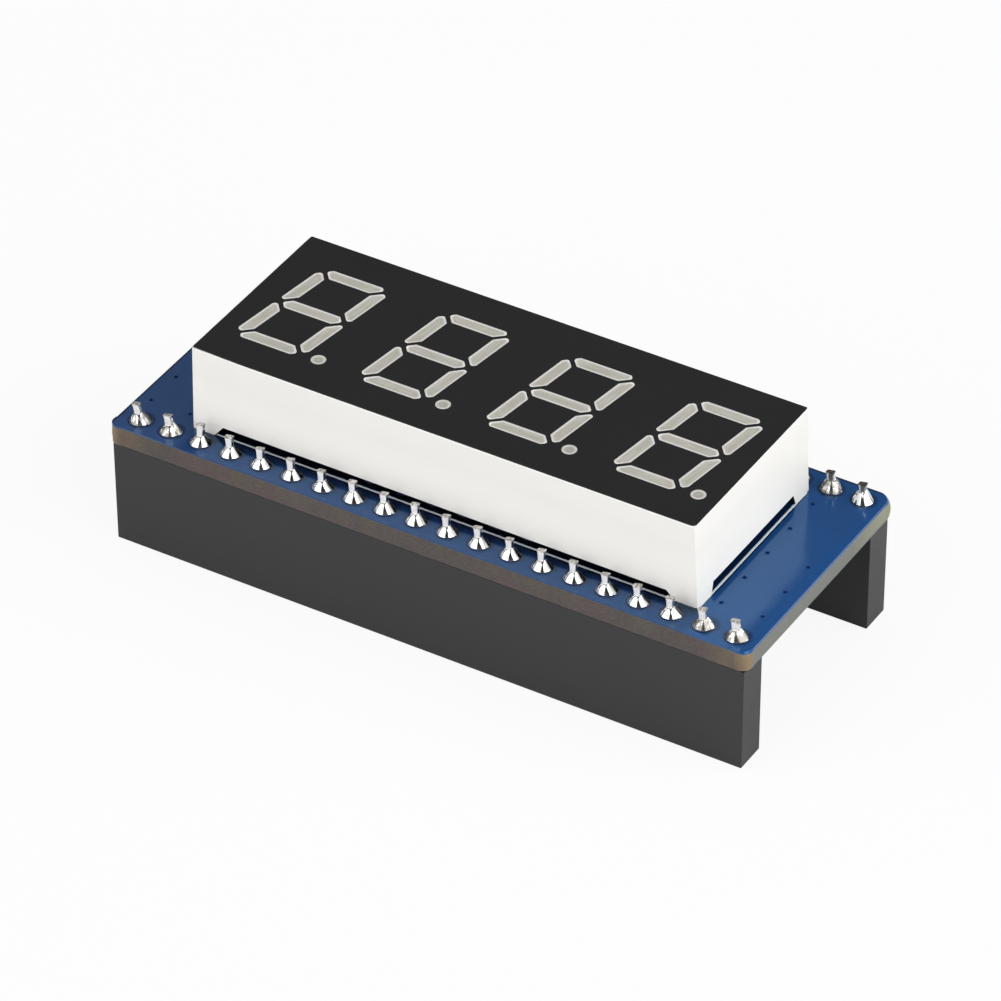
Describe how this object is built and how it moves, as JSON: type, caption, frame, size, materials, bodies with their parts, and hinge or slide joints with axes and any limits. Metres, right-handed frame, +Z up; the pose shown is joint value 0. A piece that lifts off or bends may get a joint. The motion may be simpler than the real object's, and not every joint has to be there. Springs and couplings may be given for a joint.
{
  "type": "seven segment display module",
  "caption": "Seven-segment number display on a blue circuit board, with socket strips under both long edges for plugging it onto rows of header pins.",
  "frame": {"origin": "bottom centre of the module, on the surface its socket strips stand on", "axes": "+X along the board, to the right when the digits are read; +Y across the board, away from the reader; +Z up, out of the display's face"},
  "size_m": [0.0516, 0.0206, 0.0171],
  "materials": {
    "solder_mask_board": "blue solder mask on glass fibre laminate, gloss",
    "tinned_copper": "tinned copper pads, lining of the plated holes and lands",
    "strip_plastic": "moulded dark grey plastic, satin",
    "contact_metal": "tinned spring sheet metal",
    "solder": "bright solder",
    "housing_plastic": "white moulded plastic, satin",
    "face_film": "black matt layer",
    "lens_resin": "milky cast resin, grey white",
    "carrier_laminate": "pale laminate",
    "light_chip": "red crystal, gloss",
    "pin_metal": "tinned round wire",
    "chip_plastic": "black moulded epoxy, matt",
    "chip_leads": "tinned stamped leads",
    "resistor_body": "black coated ceramic",
    "capacitor_body": "tan ceramic",
    "end_metal": "tinned metal ends"
  },
  "bodies": {
    "root": {"circuit_board": "solder_mask_board", "socket_pads": "tinned_copper", "display_pads": "tinned_copper", "component_lands": "tinned_copper", "front_strip_housing": "strip_plastic", "rear_strip_housing": "strip_plastic", "front_strip_contacts": "contact_metal", "rear_strip_contacts": "contact_metal", "front_tail_solder": "solder", "rear_tail_solder": "solder", "display_housing": "housing_plastic", "display_face": "face_film", "display_resin": "lens_resin", "display_carrier_board": "carrier_laminate", "light_chips": "light_chip", "front_display_pins": "pin_metal", "rear_display_pins": "pin_metal", "display_pin_solder": "solder", "left_register_body": "chip_plastic", "left_register_leads": "chip_leads", "right_register_body": "chip_plastic", "right_register_leads": "chip_leads", "resistor_bodies": "resistor_body", "resistor_ends": "end_metal", "capacitor_bodies": "capacitor_body", "capacitor_ends": "end_metal", "component_solder": "solder"}
  },
  "joints": []
}
